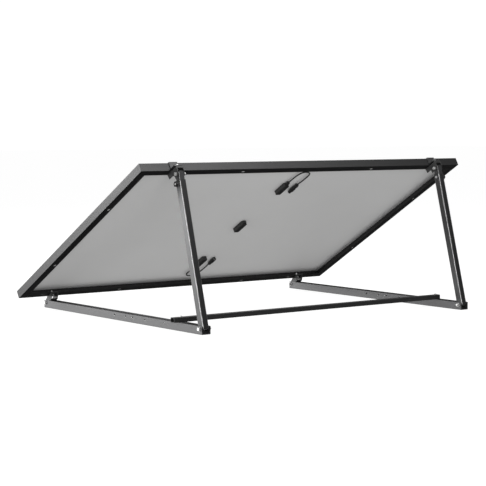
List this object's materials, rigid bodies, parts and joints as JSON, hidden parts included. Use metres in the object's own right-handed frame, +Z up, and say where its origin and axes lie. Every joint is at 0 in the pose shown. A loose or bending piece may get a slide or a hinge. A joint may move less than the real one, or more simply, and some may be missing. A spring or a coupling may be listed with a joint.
{
  "type": "framed solar panel on an adjustable tilt stand",
  "caption": "Framed photovoltaic module hinged on two floor rails, with telescopic rear legs, a cross bar, clamp knobs and rear junction boxes with cables.",
  "frame": {"origin": "centre of the footprint on the floor", "axes": "+Z up, +X along the panel's long side (to the right seen from the sunny front), +Y from the low sunny edge towards the rear legs"},
  "size_m": [1.722, 1.2002, 0.6648],
  "materials": {
    "rail_anodised": "satin black anodised extrusion",
    "bar_anodised": "satin black anodised tube",
    "leg_anodised": "satin black anodised tube",
    "inner_leg_anodised": "satin black anodised tube with a slot",
    "frame_anodised": "matt black anodised module frame",
    "corner_key": "mill finish die-cast key",
    "bracket_coated": "black coated bracket",
    "jaw_anodised": "black anodised clamp jaw",
    "stainless": "stainless fasteners",
    "nylon_spacer": "black nylon",
    "knob_plastic": "black moulded knob",
    "glass": "low-iron tempered glass, anti-reflective",
    "encapsulant": "clear film",
    "cell": "blue-black silicon with fine silver fingers",
    "ribbon": "tinned copper ribbon",
    "backsheet": "pale grey-white polymer film",
    "sealant": "black silicone",
    "box_plastic": "black moulded box",
    "diode": "epoxy package",
    "cable_jacket": "cross-linked black jacket",
    "connector_plastic": "black moulded connector",
    "contact": "tin-plated copper"
  },
  "bodies": {
    "stand_base": {"rail_right": "rail_anodised", "rail_left": "rail_anodised", "cross_bar": "bar_anodised", "cross_bar_bolts": "stainless", "cross_bar_weld_nuts": "stainless", "pivot_bolts": "stainless", "pivot_lock_nuts": "stainless", "pivot_washers": "stainless", "front_pivot_spacers": "nylon_spacer", "rear_pivot_spacers": "nylon_spacer"},
    "panel": {"frame_top": "frame_anodised", "frame_bottom": "frame_anodised", "frame_side_right": "frame_anodised", "frame_side_left": "frame_anodised", "corner_keys": "corner_key", "edge_sealant": "sealant", "glass_sheet": "glass", "front_encapsulant": "encapsulant", "solar_cells": "cell", "cell_ribbons": "ribbon", "rear_encapsulant": "encapsulant", "backsheet": "backsheet", "junction_box_base_upper": "box_plastic", "junction_box_base_middle": "box_plastic", "junction_box_base_lower": "box_plastic", "junction_box_lid_upper": "box_plastic", "junction_box_lid_middle": "box_plastic", "junction_box_lid_lower": "box_plastic", "junction_box_adhesive": "sealant", "bypass_diodes": "diode", "cable_upper": "cable_jacket", "cable_lower": "cable_jacket", "cable_gland_nuts": "connector_plastic", "connector_plug": "connector_plastic", "connector_socket": "connector_plastic", "connector_contacts": "contact", "hinge_bracket_right": "bracket_coated", "hinge_bracket_left": "bracket_coated", "hinge_bracket_bolts": "stainless", "clamp_body_right": "bracket_coated", "clamp_body_left": "bracket_coated", "clamp_jaw_right": "jaw_anodised", "clamp_jaw_left": "jaw_anodised", "clamp_bolts": "stainless", "clamp_jam_nuts": "stainless", "top_pivot_bolts": "stainless", "top_pivot_spacers": "nylon_spacer", "panel_lock_nuts": "stainless"},
    "outer_leg_right": {"leg_outer_right": "leg_anodised", "leg_collar_right": "nylon_spacer", "knob_bolt_right": "stainless", "knob_washer_right": "stainless"},
    "inner_leg_right": {"leg_inner_right": "inner_leg_anodised"},
    "knob_right": {"knob_right": "knob_plastic"},
    "outer_leg_left": {"leg_outer_left": "leg_anodised", "leg_collar_left": "nylon_spacer", "knob_bolt_left": "stainless", "knob_washer_left": "stainless"},
    "inner_leg_left": {"leg_inner_left": "inner_leg_anodised"},
    "knob_left": {"knob_left": "knob_plastic"}
  },
  "joints": [
    {"name": "panel_tilt", "type": "hinge", "parent": "stand_base", "child": "panel", "pos_m": [0, -0.5895, 0.0215], "axis": [1, 0, 0], "range_deg": [-0.6, 20]},
    {"name": "leg_swing_right", "type": "hinge", "parent": "stand_base", "child": "outer_leg_right", "pos_m": [0.7007, 0.584, 0.0215], "axis": [1, 0, 0], "range_deg": [-0.5, 10.28]},
    {"name": "leg_extend_right", "type": "slide", "parent": "outer_leg_right", "child": "inner_leg_right", "axis": [0, -0.26, 0.9656], "range_m": [-0.01169, 0.38634]},
    {"name": "knob_turn_right", "type": "hinge", "parent": "outer_leg_right", "child": "knob_right", "pos_m": [0.7207, 0.43388, 0.57904], "axis": [1, 0, 0], "range_deg": [0, 720]},
    {"name": "leg_swing_left", "type": "hinge", "parent": "stand_base", "child": "outer_leg_left", "pos_m": [-0.7007, 0.584, 0.0215], "axis": [1, 0, 0], "range_deg": [-0.5, 10.28]},
    {"name": "leg_extend_left", "type": "slide", "parent": "outer_leg_left", "child": "inner_leg_left", "axis": [0, -0.26, 0.9656], "range_m": [-0.01169, 0.38634]},
    {"name": "knob_turn_left", "type": "hinge", "parent": "outer_leg_left", "child": "knob_left", "pos_m": [-0.7207, 0.43388, 0.57904], "axis": [-1, 0, 0], "range_deg": [0, 720]}
  ],
  "couplings": [
    {"joint": "leg_swing_right", "follows": "panel_tilt", "ratio": 0.504},
    {"joint": "leg_extend_right", "follows": "panel_tilt", "m_per_rad": 1.1065},
    {"joint": "leg_swing_left", "follows": "panel_tilt", "ratio": 0.504},
    {"joint": "leg_extend_left", "follows": "panel_tilt", "m_per_rad": 1.1065}
  ]
}
